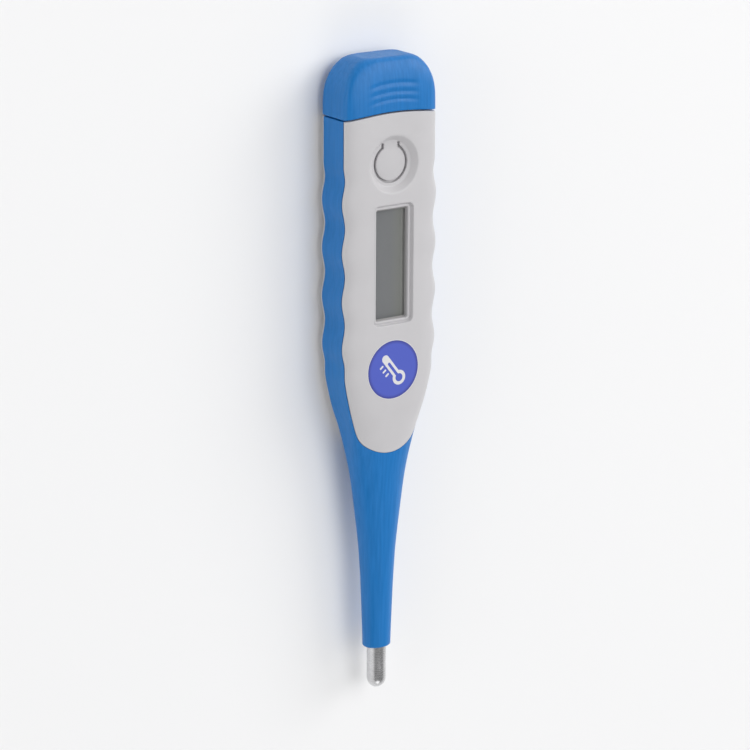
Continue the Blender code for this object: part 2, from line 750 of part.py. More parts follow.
def make_battery_cap(blue, rubber):
    start = SHELL_END + GAP
    pivot = at(start)
    rings = [Section(start).ring(6)]
    turns = (0.0, 22.0, 38.0, 52.0, 64.0, 74.0)
    reach = LENGTH - CAP_ROUND_START
    for turn in turns:
        rings.append(Section(CAP_ROUND_START + reach * math.sin(math.radians(turn))).ring(6))
    rings.append(Section(LENGTH).ring(6))
    cap = loft("battery_cap", rings, blue, pivot)
    hollow = []
    for distance, shrink in ((start - 2.0, 0.0), (CAP_CAVITY_END - 1.0, 0.0), (CAP_CAVITY_END, 1.0)):
        outline = end_outline(CAP_CAVITY[0] - shrink, CAP_CAVITY[1] - shrink, 1.4)
        hollow.append([at(distance, *point) for point in outline])
    boolean(cap, loft("cap_room_cut", hollow), "DIFFERENCE")
    outer = end_outline(CAP_CAVITY[0] - 0.25, CAP_CAVITY[1] - 0.25, 1.5)
    inner = end_outline(SPIGOT_HALF + 0.1, SPIGOT_HEIGHT + 0.1, 1.0)
    span = (124.2, 125.2)
    outer_rings = [[at(distance, *point) for point in outer] for distance in span]
    inner_rings = [[at(distance, *point) for point in inner] for distance in span]
    tube("cap_seal", outer_rings, inner_rings, rubber)


def main():
    for item in list(bpy.data.objects):
        bpy.data.objects.remove(item, do_unlink=True)
    grey = material("grey_abs", (0.53, 0.52, 0.54), 0.5)
    blue = material("blue_elastomer", (0.05, 0.2, 0.5), 0.55)
    steel = material("steel", (0.6, 0.6, 0.6), 0.3, 1.0)
    brass = material("brass", (0.7, 0.5, 0.2), 0.35, 1.0)
    clear = material("clear_lens", (0.8, 0.85, 0.85), 0.05)
    glass = material("display_glass", (0.35, 0.38, 0.36), 0.1)
    film = material("polariser_film", (0.25, 0.27, 0.24), 0.2)
    silver = material("reflector_film", (0.55, 0.56, 0.5), 0.3, 0.5)
    white = material("white_abs", (0.75, 0.75, 0.72), 0.5)
    black = material("black_epoxy", (0.01, 0.01, 0.01), 0.4)
    green = material("board_green", (0.03, 0.2, 0.07), 0.45)
    ceramic = material("ceramic", (0.6, 0.45, 0.3), 0.4)
    dark = material("chip_black", (0.03, 0.03, 0.03), 0.5)
    rubber = material("black_rubber", (0.03, 0.03, 0.03), 0.8)
    foam = material("seal_foam", (0.08, 0.08, 0.08), 0.9)
    copper = material("lead_insulation", (0.5, 0.06, 0.04), 0.5)
    resin = material("potting_resin", (0.3, 0.2, 0.08), 0.3)

    make_front_shell(grey)
    make_back_shell(grey)
    make_grip_sleeve(blue)
    make_power_button(grey)
    make_battery_cap(blue, rubber)
    make_neck(blue, copper)
    make_probe_tip(steel, resin, black)
    make_display(clear, foam, film, glass, silver, white, rubber)
    make_board(green, black, ceramic, dark, steel)
    make_switch_dome(steel)
    make_buzzer(brass, ceramic, steel)
    make_battery(steel, brass, white)


main()
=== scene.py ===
import json
import math

import bmesh
import bpy
from mathutils import Matrix, Vector


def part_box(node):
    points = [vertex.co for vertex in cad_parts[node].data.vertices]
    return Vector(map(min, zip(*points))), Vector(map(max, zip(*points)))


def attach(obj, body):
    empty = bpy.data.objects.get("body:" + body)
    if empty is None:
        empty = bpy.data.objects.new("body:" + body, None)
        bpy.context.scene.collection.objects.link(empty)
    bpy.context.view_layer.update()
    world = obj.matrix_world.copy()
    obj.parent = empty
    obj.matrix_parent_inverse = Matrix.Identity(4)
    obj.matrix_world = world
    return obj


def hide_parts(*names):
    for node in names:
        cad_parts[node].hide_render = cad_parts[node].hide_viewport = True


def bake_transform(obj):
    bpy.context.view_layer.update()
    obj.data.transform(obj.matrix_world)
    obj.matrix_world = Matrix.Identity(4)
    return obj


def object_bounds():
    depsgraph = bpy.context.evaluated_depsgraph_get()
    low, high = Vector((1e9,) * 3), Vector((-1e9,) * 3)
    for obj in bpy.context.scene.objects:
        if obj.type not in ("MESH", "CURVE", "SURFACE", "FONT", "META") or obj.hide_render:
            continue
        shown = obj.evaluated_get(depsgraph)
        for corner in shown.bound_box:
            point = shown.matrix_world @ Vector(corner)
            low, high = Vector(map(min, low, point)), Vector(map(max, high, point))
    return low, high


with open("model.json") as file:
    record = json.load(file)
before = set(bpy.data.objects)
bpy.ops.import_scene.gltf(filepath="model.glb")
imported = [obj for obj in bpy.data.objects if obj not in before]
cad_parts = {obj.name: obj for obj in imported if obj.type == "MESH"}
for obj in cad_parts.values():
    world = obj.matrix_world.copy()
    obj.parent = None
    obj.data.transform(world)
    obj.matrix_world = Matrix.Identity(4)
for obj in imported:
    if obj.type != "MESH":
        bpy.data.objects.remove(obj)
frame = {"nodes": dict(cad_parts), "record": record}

CAD_LOW, CAD_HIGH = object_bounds()
TIP_LOW, TIP_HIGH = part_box("probe_tip")
MM = 0.001
LENGTH = (CAD_HIGH.x - CAD_LOW.x) / MM
MIDDLE = 0.5 * (TIP_LOW.z + TIP_HIGH.z)

# Outer form, as (distance from the tip, half width, half depth).
FORM = (
    (8.0, 3.05, 2.5),
    (18.0, 3.33, 2.72),
    (29.0, 3.9, 3.1),
    (40.0, 5.2, 3.65),
    (50.0, 6.7, 4.25),
    (57.0, 7.95, 4.8),
    (63.0, 9.45, 5.3),
    (71.0, 10.8, 5.5),
    (80.0, 11.0, 5.5),
    (122.0, 11.0, 5.5),
    (LENGTH, 11.0, 5.5),
)
ROUND_END = 45.0              # up to here the section is oval
BOXY_START = 70.0             # from here on it has straight sides
SIDE_HEIGHT = 3.2             # half height of the straight sides
OVAL_POWER = 2.1              # the section is a superellipse of this power along the neck
CROWN_POWER = 3.0             # and its crowns are of this power along the body
CROWN_RISE = 0.12             # the crowns would rise this far past the flat face
WAVE_DEPTH = 0.37             # waves of the blue sides
WAVE_PITCH = 10.0
WAVE_BUMP = 75.3
WAVE_FADE_IN = (68.0, 74.0)
WAVE_FADE_OUT = (109.5, 114.0)
RING_STEPS = 26               # steps in each quarter of a ring round the part
SHARP = 30.0                  # edges sharper than this many degrees stay crisp
FACE_SHARP = 32.0
SLEEVE_SHARP = 35.0
PRINT_SHARP = 40.0
SLEEVE_PITCH = 0.5            # distances between rings along the part
NECK_PITCH = 0.25
CAP_PITCH = 0.22
PLATE_PITCH = 0.55
BEYOND = 9.0                  # a height clear of the whole part, for cutting tools

# Grey shells.
FACE = 5.5                    # height of the flat front and back
SKIN = 1.85                   # the rim of a face plate lies this far below the flat face
PLATE_SINK = 0.15             # its underside lies this far below the rim
PLATE_LEAST = 0.02            # and at least this far below its surface
ROOM_SINK = 0.2               # and the sleeve is cut away down to here
ROOM_MARGIN = 0.025           # seam between a face plate and the sleeve
SHELL_TIP = 52.4
SHELL_TIP_RADIUS = 8.2
SHELL_END = 122.5
SHELL_SPINE = (60.6, 116.5)   # the middle line that the rings of the face shrink to
OUTLINE_POWER = 10.0          # sharpness of the blend between the round end and the sides
EDGE_RADIUS = 0.12
END_ARCH = (0.5, 1.0)         # bow of the line between shells and cap: middle rise, side fall
ARCH_START = 119.4            # the bow grows from here
ARCH_FULL = SHELL_END - 0.3   # to here
ARCH_END = 127.5              # and it fades again up to here, inside the cap
TUB_START = 62.6
TUB_STATIONS = (TUB_START + 1.2, 67.0, 71.0)
TUB_STRAIGHT = 73.5
TUB_END = SHELL_END - 1.0
TUB_BLUNT = 0.72              # width of its blunt tip end, as a share
TUB_HALF = 8.3
TUB_WALL = 1.0
TUB_INSET = 2.6               # least distance of the inner wall from the outside
TUB_TOP = FACE - SKIN - 0.25
TUB_CEILING = 0.4             # thickness of the inner wall under the face
HOUSING_AIR = 0.3             # air between the inner wall and the sleeve
HOUSING_OPEN = 3.3            # the room for it runs on this far at the battery end
PARTING_GAP = 0.15            # half the gap between the front and back shells
SPIGOT_START = SHELL_END - 1.5
SPIGOT_END = 128.0
SPIGOT_HALF = 7.9
SPIGOT_HEIGHT = 3.5
SPIGOT_CORNER = 1.4
SPIGOT_ROOM = (118.5, 130.5)  # its hollow runs right through
PANEL_SPAN = (68.0, 119.0)    # label panel on the back
PANEL_HALF = 6.5
PANEL_RISE = 0.4
PANEL_CORNER = 1.6
INNER_CORNER = 0.6            # corners of the spigot's hollow and the lens pocket

# Display window and power button.
DISPLAY_CENTRE = 92.0
WINDOW_HALF = (11.5, 3.85)
WINDOW_CORNER = 0.35
FRAME_CORNER_GROWTH = 0.95    # growth of its corner radius with the outset
LENS_TOP = 4.1
POCKET_HALF = (13.0, 5.4)     # pocket for the lens
POCKET_LEVELS = (2.5, LENS_TOP + 0.03)
BORDER_WIDTH = (0.35, 0.3)    # border printed on the lens, at its ends and along its sides
BORDER_UNDER = 0.25           # the border runs on this far under the frame
BORDER_FILM = (0.003, 0.023)  # its lower and upper level above the lens
BUTTON_CENTRE = 112.6
BUTTON_RADIUS = 3.6
BUTTON_STEM = 1.75            # half width of the tongue behind the button
BUTTON_HINGE = 116.7
BUTTON_FLOOR = 4.15           # height of the dish floor
TONGUE_END = BUTTON_HINGE + PARTING_GAP
TONGUE_ROOT = 0.6             # the stem runs this far into the dish floor
TONGUE_CUTS = 113.6           # it has cuts to bend along from here to its root

# Neck, probe tip and battery cap.
NECK_HINGES = (41.0, 36.0, 31.0, 26.0, 21.0, 16.0)
NECK_ROOT = 45.0
NECK_END = 9.3
NECK_BORE = 1.3
ROOT_BORE = (36.0, 66.0)      # the bore is cut into the sleeve between these distances
LIP_RADIUS = 0.45             # rounding of the neck's mouth
PROBE_RADIUS = 2.0
PROBE_DOME = 2.2              # length of the rounded tip
PROBE_WALL = 0.35
PROBE_BORE = PROBE_RADIUS - PROBE_WALL
PROBE_END = NECK_END + 0.2    # the steel ends inside the neck
CAP_START = 122.8
CAP_RIM = 0.2                 # rounding of the cap's mouth
CAP_ARCH_FULL = CAP_START + 0.4
CAP_ROUND_START = 124.0
CAP_ROUND_POWER = 2.5
CAP_DEPTH_POWER = 0.6         # the depth shrinks less than the width
CAP_EVEN_END = 130.5          # up to here the rings are evenly spaced
CAP_END_SHARE = 0.55          # share of the width that is left at the flat end
CAP_END_RADIUS = 0.8          # rounding of the edge of the flat end
CAVITY_HALF = (8.9, 4.4)
CAVITY_CORNER = 1.4
CAVITY_END = 129.5
CAVITY_END_RADIUS = 0.8
CAVITY_BEVEL = 0.15
GROOVES = (125.6, 127.3, 129.0)
GROOVE_DEPTH = 0.22
GROOVE_WIDTH = 0.42
GROOVE_BOW = 0.02             # the grooves curve by this times the square of the distance across
GROOVE_FADE = (3.5, 6.5)
GROOVE_LOWEST = 2.0           # the sides below this height stay plain

# Printed badge.
BADGE_CENTRE = 70.2
BADGE_RADIUS = 6.1
BADGE_RIM = 0.12              # width of the pale outline round the disc
BADGE_TILT = math.radians(38.0)
PRINT_SINK = 0.12             # prints reach this far into the shell
TICK_PLACES = (0.2, 1.3, 2.4)


def at(distance, across=0.0, height=0.0):
    """A point in the frame, from millimetres along, across and above the middle plane."""
    return Vector((CAD_LOW.x + distance * MM, across * MM, MIDDLE + height * MM))


def smoothstep(low, high, value):
    share = min(max((value - low) / (high - low), 0.0), 1.0)
    return share * share * (3.0 - 2.0 * share)


def spread(low, high, count):
    return [low + (high - low) * step / count for step in range(count + 1)]


def spaced(low, high, pitch):
    return spread(low, high, max(1, round(abs(high - low) / pitch)))


def along_form(distance, column):
    """Half width (column 1) or half depth (column 2) of the form, on a smooth curve."""
    last = len(FORM) - 2
    index = max(0, min(last, sum(1 for row in FORM[1:-1] if row[0] <= distance)))
    low, high = FORM[index], FORM[index + 1]

    def rise(first, second):
        return (second[column] - first[column]) / (second[0] - first[0])

    def tangent(place):
        if place == 0 or place == len(FORM) - 1:
            return 0.0
        before = rise(FORM[place - 1], FORM[place])
        after = rise(FORM[place], FORM[place + 1])
        if before * after <= 0.0:
            return 0.0
        return 2.0 * before * after / (before + after)

    span = high[0] - low[0]
    share = (distance - low[0]) / span
    start = (1.0 + 2.0 * share) * (1.0 - share) ** 2 * low[column]
    end = share * share * (3.0 - 2.0 * share) * high[column]
    lead_out = share * (1.0 - share) ** 2 * span * tangent(index)
    lead_in = share * share * (share - 1.0) * span * tangent(index + 1)
    return start + end + lead_out + lead_in


def wave(distance):
    fade = smoothstep(*WAVE_FADE_IN, distance) * (1.0 - smoothstep(*WAVE_FADE_OUT, distance))
    return WAVE_DEPTH * fade * math.cos(2.0 * math.pi * (distance - WAVE_BUMP) / WAVE_PITCH)


def cap_share(distance):
    """How much of the full section is left, on the rounded battery end."""
    power = CAP_ROUND_POWER
    reach = (LENGTH - CAP_ROUND_START) / (1.0 - CAP_END_SHARE ** power) ** (1.0 / power)
    share = max(0.0, (distance - CAP_ROUND_START) / reach)
    return (1.0 - share ** power) ** (1.0 / power)


class Section:
    """The outer cross-section at one distance from the tip."""

    def __init__(self, distance):
        boxy = smoothstep(ROUND_END, BOXY_START, distance)
        share = cap_share(distance)
        self.width = (along_form(distance, 1) + wave(distance)) * share
        self.depth = along_form(distance, 2) * share ** CAP_DEPTH_POWER
        self.side = SIDE_HEIGHT * boxy * share
        self.power = OVAL_POWER + (CROWN_POWER - OVAL_POWER) * boxy
        self.crown = self.depth + CROWN_RISE * boxy - self.side

    def half_width_at(self, height):
        if height <= self.side:
            return self.width
        up = (height - self.side) / self.crown
        return self.width * (1.0 - up ** self.power) ** (1.0 / self.power)

    def height_at(self, across):
        inward = max(0.0, 1.0 - abs(across / self.width) ** self.power) ** (1.0 / self.power)
        return min(self.depth, self.side + self.crown * inward)

    def turned(self, turn):
        """A point of the crown: turn 0 is the end of the straight side, and half pi the middle."""
        across = self.width * max(0.0, math.cos(turn)) ** (2.0 / self.power)
        height = self.side + self.crown * max(0.0, math.sin(turn)) ** (2.0 / self.power)
        return across, min(self.depth, height)

    def turn_at(self, across):
        return math.acos(min(1.0, abs(across) / self.width) ** (self.power / 2.0))

    def quarter(self, steps):
        """Evenly spaced points from the side to the middle of the face."""
        samples = 120
        path = [(self.width, 0.0)]
        for sample in range(samples + 1):
            path.append(self.turned(0.5 * math.pi * (sample / samples) ** 1.5))
        return evenly(path, steps)

    def ring(self, inset):
        """Points round the section, shrunk by inset."""
        across = 1.0 - inset / self.width
        up = 1.0 - inset / self.depth
        return all_round([(y * across, z * up) for y, z in self.quarter(RING_STEPS)])


def all_round(quarter):
    """A whole ring from its first quarter, which runs from +Y to the middle of the top."""
    upper = quarter + [(-across, height) for across, height in reversed(quarter[:-1])]
    return upper + [(-across, -height) for across, height in upper[1:-1]]


def lengths_along(path):
    run = [0.0]
    for first, second in zip(path, path[1:]):
        run.append(run[-1] + math.dist(first, second))
    return run


def point_along(path, run, distance):
    """The point at a distance along a path, whose running lengths are run."""
    for index in range(1, len(run)):
        if run[index] >= distance or index == len(run) - 1:
            step = run[index] - run[index - 1]
            share = (distance - run[index - 1]) / step if step > 0.0 else 0.0
            share = min(1.0, share)
            return tuple(a + (b - a) * share for a, b in zip(path[index - 1], path[index]))


def evenly(path, steps):
    run = lengths_along(path)
    return [point_along(path, run, run[-1] * step / steps) for step in range(steps + 1)]


# Mesh building.


def new_object(name, data):
    item = bpy.data.objects.new(name, data)
    bpy.context.scene.collection.objects.link(item)
    return item


def finish_mesh(name, work, sharp=SHARP):
    """Turn a bmesh into a smooth-shaded object."""
    bmesh.ops.remove_doubles(work, verts=work.verts, dist=1e-7)
    bmesh.ops.recalc_face_normals(work, faces=work.faces)
    mesh = bpy.data.meshes.new(name)
    work.to_mesh(mesh)
    work.free()
    item = new_object(name, mesh)
    smooth(item, sharp)
    return item


def smooth(item, sharp=SHARP):
    item.data.shade_smooth()
    item.data.set_sharp_from_angle(angle=math.radians(sharp))


def add_rows(work, rows):
    """Join rows of vertices with quads, closed round each row."""
    for low, high in zip(rows, rows[1:]):
        for first in range(len(low)):
            second = (first + 1) % len(low)
            corners = list(dict.fromkeys((low[first], low[second], high[second], high[first])))
            if len(corners) > 2 and not work.faces.get(corners):
                work.faces.new(corners)


def add_points(work, rings):
    return [[work.verts.new(point) for point in ring] for ring in rings]


def loft(name, rings, flat=(0, -1)):
    """A closed solid through rings of points. An end that isn't flat shrinks to a point or line."""
    work = bmesh.new()
    rows = add_points(work, rings)
    add_rows(work, rows)
    for end in flat:
        work.faces.new(rows[end])
    return finish_mesh(name, work)


def tube(name, rings):
    """A closed solid whose rings run down the outside and back up the inside."""
    work = bmesh.new()
    rows = add_points(work, rings)
    add_rows(work, rows + rows[:1])
    return finish_mesh(name, work)


def prism(name, outline, low, high):
    return loft(name, [raised(outline, low), raised(outline, high)])


def raised(outline, height):
    return [at(distance, across, height) for distance, across in outline]


def turned_solid(name, profile, distance, axis, segments=96):
    """A solid turned about an axis through the middle line at a distance from the tip.

    The profile lists (radius, along the axis), and a radius of 0 closes it.
    """
    rings = []
    for radius, along in profile:
        ring = circle(radius, segments)
        if axis == "X":
            rings.append([at(distance + along, first, second) for first, second in ring])
        else:
            rings.append([at(distance + first, second, along) for first, second in ring])
    return loft(name, rings, flat=())


def circle(radius, count=72):
    turns = [2.0 * math.pi * step / count for step in range(count)]
    return [(radius * math.cos(turn), radius * math.sin(turn)) for turn in turns]


def rounded_rectangle(centre, half, corner, steps=8):
    points = []
    for turn, (side_x, side_y) in enumerate(((1, 1), (-1, 1), (-1, -1), (1, -1))):
        for step in range(steps + 1):
            angle = math.radians(90.0 * (turn + step / steps))
            first = centre[0] + side_x * (half[0] - corner) + corner * math.cos(angle)
            second = centre[1] + side_y * (half[1] - corner) + corner * math.sin(angle)
            points.append((first, second))
    return points


def carve(target, tool, operation="DIFFERENCE"):
    """Cut the tool out of the target, or join it on, and throw the tool away."""
    step = target.modifiers.new("carve", "BOOLEAN")
    step.operation = operation
    step.solver = "EXACT"
    step.object = tool
    bpy.context.view_layer.update()
    graph = bpy.context.evaluated_depsgraph_get()
    result = bpy.data.meshes.new_from_object(target.evaluated_get(graph))
    target.modifiers.clear()
    old = target.data
    target.data = result
    bpy.data.meshes.remove(old)
    bpy.data.objects.remove(tool, do_unlink=True)


def arch(item, full, none):
    """Bow the line between shells and cap: all of it at full, and nothing at none."""
    middle, fall = END_ARCH
    for vert in item.data.vertices:
        distance = (vert.co.x - CAD_LOW.x) / MM
        across = vert.co.y / (MM * along_form(SHELL_END, 1))
        share = smoothstep(0.0, 1.0, (distance - none) / (full - none))
        vert.co.x += MM * share * (middle - fall * across * across)


# Grey face plates.


def plate_half(distance, margin):
    """Half width of a face plate in plan, round at the tip end."""
    section = Section(distance)
    side = section.half_width_at(section.depth - SKIN) + margin
    into = distance - (SHELL_TIP - margin)
    if into <= 1e-9:
        return 0.0
    end = math.sqrt(2.0 * (SHELL_TIP_RADIUS + margin) * into)
    return (end ** -OUTLINE_POWER + side ** -OUTLINE_POWER) ** (-1.0 / OUTLINE_POWER)


def plate_outline(margin=0.0, end_margin=0.0):
    """One side of a plate's plan, as (distance, across), from the tip to the middle of the end."""
    tip = SHELL_TIP - margin
    reach = SHELL_SPINE[0] - tip
    points = [(tip, 0.0)]
    for turn in spread(0.0, 0.5 * math.pi, 36)[1:]:
        distance = tip + reach * (1.0 - math.cos(turn))
        points.append((distance, plate_half(distance, margin)))
    end = SHELL_END + end_margin
    for distance in spaced(SHELL_SPINE[0], end, PLATE_PITCH)[1:]:
        points.append((distance, plate_half(distance, margin)))
    width = points[-1][1]
    for turn in spread(0.0, 0.5 * math.pi, 24)[1:]:
        points.append((end, width * math.cos(turn)))
    return points


def whole_outline(half):
    """Both sides of a plan, from one side of it."""
    return half + [(distance, -across) for distance, across in reversed(half[1:-1])]


def normal_at(distance, turn):
    """The outward direction of the outer surface, as (along, across, height)."""
    nudge = 1e-3
    inner = min(turn, 0.5 * math.pi - 2.0 * nudge)
    across_a, height_a = Section(distance).turned(inner)
    across_b, height_b = Section(distance).turned(inner + nudge)
    across_c, height_c = Section(distance + nudge).turned(inner)
    turnwise = Vector((0.0, across_b - across_a, height_b - height_a))
    lengthwise = Vector((nudge, across_c - across_a, height_c - height_a))
    normal = turnwise.cross(lengthwise)
    normal.normalize()
    return normal if normal.z + normal.y > 0.0 else -normal


# Rings of a face plate: distances from its rim, and then shares of the rest up to the spine.
EDGE_RINGS = (0.0, 0.015, 0.04, 0.08, 0.12, 0.25, 0.5, 0.8, 1.1, 1.5, 1.9, 2.4, 3.0, 3.7, 4.4, 5.2)
SPINE_SHARES = (0.4, 0.75, 1.0)
UNDER_RING = 10               # the ring that the middle of the underside lies below


def nearest_on_spine(distance):
    return min(max(distance, SHELL_SPINE[0]), SHELL_SPINE[1])


def plate_path(distance, across):
    """The way over the surface from the rim to the spine, as (along, across, height, turn)."""
    goal = nearest_on_spine(distance)
    start_turn = Section(distance).turn_at(across)
    path = []
    for share in spread(0.0, 1.0, 36):
        eased = share ** 1.6
        place = distance + (goal - distance) * eased
        turn = start_turn + (0.5 * math.pi - start_turn) * eased
        path.append((place, *Section(place).turned(turn), turn))
    return path


def make_plate(name, side):
    """A crowned face plate with a rounded rim; side is +1 in front and -1 at the back."""
    half = plate_outline()
    count = len(EDGE_RINGS) + len(SPINE_SHARES)
    rings = [[] for _ in range(count + 3)]
    for distance, across in half:
        path = plate_path(distance, across)
        run = lengths_along([point[:3] for point in path])
        rest = run[-1] - EDGE_RINGS[-1]
        reaches = list(EDGE_RINGS) + [EDGE_RINGS[-1] + rest * share for share in SPINE_SHARES]
        column = []
        for reach in reaches:
            along, aside, height, turn = point_along(path, run, min(reach, run[-1]))
            point = Vector((along, aside, height))
            if reach < EDGE_RADIUS:
                sink = EDGE_RADIUS - math.sqrt(EDGE_RADIUS ** 2 - (EDGE_RADIUS - reach) ** 2)
                point -= sink * normal_at(along, turn)
            column.append(point)
        for point in (column[-1], column[UNDER_RING], column[0]):
            floor = Section(point.x).depth - SKIN - PLATE_SINK
            column.append(Vector((point.x, point.y, min(floor, point.z - PLATE_LEAST))))
        for ring, point in zip(rings, column):
            ring.append(point)
    work = bmesh.new()
    whole = [ring + [Vector((p.x, -p.y, p.z)) for p in reversed(ring[1:-1])] for ring in rings]
    rows = add_points(work, [[at(p.x, p.y, side * p.z) for p in ring] for ring in whole])
    add_rows(work, rows[:count])
    add_rows(work, rows[count:] + rows[:1])
    return finish_mesh(name, work)


def plate_room(name, side):
    """The pocket that a face plate lies in, to be cut out of the blue sleeve."""
    past_end = 2.0
    outline = whole_outline(plate_outline(ROOM_MARGIN, past_end))
    rings = [raised(outline, side * BEYOND)]
    for share in (0.0, 0.5, 1.0):
        ring = []
        for distance, across in outline:
            place = distance + (nearest_on_spine(distance) - distance) * share
            floor = Section(place).depth - SKIN - ROOM_SINK
            ring.append(at(place, across * (1.0 - share), side * floor))
        rings.append(ring)
    return loft(name, rings, flat=(0,))


def tub_outline(wall):
    """Plan of the shells' inner wall: its outside at 0, and its inside at the wall's thickness."""
    start = TUB_START + wall
    corners = [(start, TUB_BLUNT * (along_form(TUB_START, 1) - TUB_INSET - wall))]
    for distance in TUB_STATIONS:
        half = min(TUB_HALF, along_form(distance, 1) - TUB_INSET) - wall
        corners.append((max(distance, start + 0.2), half))
    corners += [(TUB_STRAIGHT, TUB_HALF - wall), (TUB_END, TUB_HALF - wall)]
    return corners + [(distance, -half) for distance, half in reversed(corners)]


def round_corner(half, height, radius, steps):
    """Points round the corner of a section at (half, height), from the side to the top."""
    turns = spread(0.0, 0.5 * math.pi, steps)
    return [(half - radius + radius * math.cos(turn), height - radius + radius * math.sin(turn))
            for turn in turns]


# The spigot, as (distance from the tip, shrink): a straight stretch and a rounded nose.
SPIGOT_LEVELS = (
    (SPIGOT_START, 0.0),
    (SPIGOT_END - 0.5, 0.0),
    (SPIGOT_END - 0.15, 0.12),
    (SPIGOT_END, 0.4),
)


def make_tub(name, side):
    """The inner wall of a shell, with its half of the spigot that the battery cap slides on."""
    tub = prism(name, tub_outline(0.0), side * PARTING_GAP, side * TUB_TOP)
    rings = []
    for distance, shrink in SPIGOT_LEVELS:
        half = SPIGOT_HALF - shrink
        height = SPIGOT_HEIGHT - shrink
        outline = [(half, PARTING_GAP), (half, height - SPIGOT_CORNER)]
        outline += round_corner(half, height, SPIGOT_CORNER, 6)
        outline += [(-across, level) for across, level in reversed(outline)]
        rings.append([at(distance, across, side * level) for across, level in outline])
    carve(tub, loft("spigot", rings), "UNION")
    below = side * -1.0
    room = prism("tub_room", tub_outline(TUB_WALL), below, side * (TUB_TOP - TUB_CEILING))
    carve(tub, room)
    low, high = SPIGOT_ROOM
    half = (0.5 * (high - low), SPIGOT_HALF - TUB_WALL)
    plan = rounded_rectangle((0.5 * (low + high), 0.0), half, INNER_CORNER)
    carve(tub, prism("spigot_room", plan, below, side * (SPIGOT_HEIGHT - TUB_WALL)))
    smooth(tub)
    return tub


def window_outline(half, corner):
    return rounded_rectangle((DISPLAY_CENTRE, 0.0), half, corner)


def window_ring(outset, height):
    """One level of the display frame: the window's opening, grown by outset."""
    half = [size + outset for size in WINDOW_HALF]
    return raised(window_outline(half, WINDOW_CORNER + FRAME_CORNER_GROWTH * outset), height)


def button_outline(margin, end):
    """Plan of the button tongue: a disc with a straight stem."""
    radius = BUTTON_RADIUS + margin
    stem = BUTTON_STEM + margin
    join = math.asin(stem / radius)
    points = []
    for turn in spread(join, 2.0 * math.pi - join, 64):
        points.append((BUTTON_CENTRE + radius * math.cos(turn), radius * math.sin(turn)))
    return points + [(end, -stem), (end, stem)]


# Display frame from the opening up, as (outset, height): a wall, a rounded lip, a groove outside
# it, and a rounded step.
FRAME_LEVELS = (
    (0.0, LENS_TOP - 1.5),
    (0.0, 4.68),
    (0.03, 4.76),
    (0.1, 4.82),
    (0.22, 4.85),
    (0.42, 4.83),
    (0.58, 4.75),
    (0.66, 4.7),
    (0.73, 4.74),
    (0.79, 4.9),
    (0.87, 5.32),
    (0.92, 5.43),
    (1.0, 5.49),
    (1.15, 5.51),
    (1.3, 6.5),
)

# Button dish, as (radius, height): a flat floor, a conical wall and a rounded rim.
DISH_PROFILE = (
    (0.0, BUTTON_FLOOR),
    (4.5, BUTTON_FLOOR),
    (4.65, BUTTON_FLOOR + 0.015),
    (4.78, BUTTON_FLOOR + 0.06),
    (4.88, BUTTON_FLOOR + 0.14),
    (5.66, 5.28),
    (5.78, 5.4),
    (5.92, 5.46),
    (6.3, 5.53),
    (6.8, 6.5),
    (0.0, 6.5),
)

# Slot round the button from below, as (margin, height), with a rounded upper edge.
SLOT_LEVELS = (
    (0.42, 2.5),
    (0.42, BUTTON_FLOOR - 0.22),
    (0.44, BUTTON_FLOOR - 0.12),
    (0.5, BUTTON_FLOOR - 0.04),
    (0.6, BUTTON_FLOOR - 0.005),
    (0.7, BUTTON_FLOOR + 0.01),
    (0.72, 6.0),
)

# Button tongue, as (margin, height): straight sides with a rounded upper edge.
TONGUE_TOP = BUTTON_FLOOR + 0.004
TONGUE_LEVELS = (
    (-0.06, FACE - SKIN),
    (-0.06, TONGUE_TOP - 0.2),
    (-0.09, TONGUE_TOP - 0.11),
    (-0.16, TONGUE_TOP - 0.04),
    (-0.34, TONGUE_TOP),
)

# Post under the button, as (radius, height), with a bevelled foot.
POST_PROFILE = (
    (0.0, 2.4),
    (0.75, 2.4),
    (0.95, 2.65),
    (0.95, BUTTON_FLOOR - 0.25),
    (0.0, BUTTON_FLOOR - 0.25),
)


def button_loft(name, levels, end):
    return loft(name, [raised(button_outline(margin, end), height) for margin, height in levels])


def make_front_shell():
    face = make_plate("front_shell_face", 1)
    carve(face, loft("window_cut", [window_ring(*level) for level in FRAME_LEVELS]))
    pocket = window_outline(POCKET_HALF, INNER_CORNER)
    carve(face, prism("lens_pocket", pocket, *POCKET_LEVELS))
    carve(face, turned_solid("dish_cut", DISH_PROFILE, BUTTON_CENTRE, "Z"))
    carve(face, button_loft("slot_cut", SLOT_LEVELS, TONGUE_END))
    arch(face, ARCH_FULL, ARCH_START)
    smooth(face, FACE_SHARP)
    tub = make_tub("front_shell_tub", 1)
    for piece in (face, tub):
        dress(piece, "shell_plastic", "housing", "front_shell")


def make_window_border():
    """A grey border printed on the lens, just inside the window's opening."""
    low, high = (LENS_TOP + level for level in BORDER_FILM)
    outer = window_outline([half + BORDER_UNDER for half in WINDOW_HALF], 0.5)
    inner = window_outline([half - width for half, width in zip(WINDOW_HALF, BORDER_WIDTH)], 0.3)
    rings = [raised(outer, low), raised(outer, high), raised(inner, high), raised(inner, low)]
    dress(tube("window_border", rings), "border_grey", "housing", slot="shell_plastic")


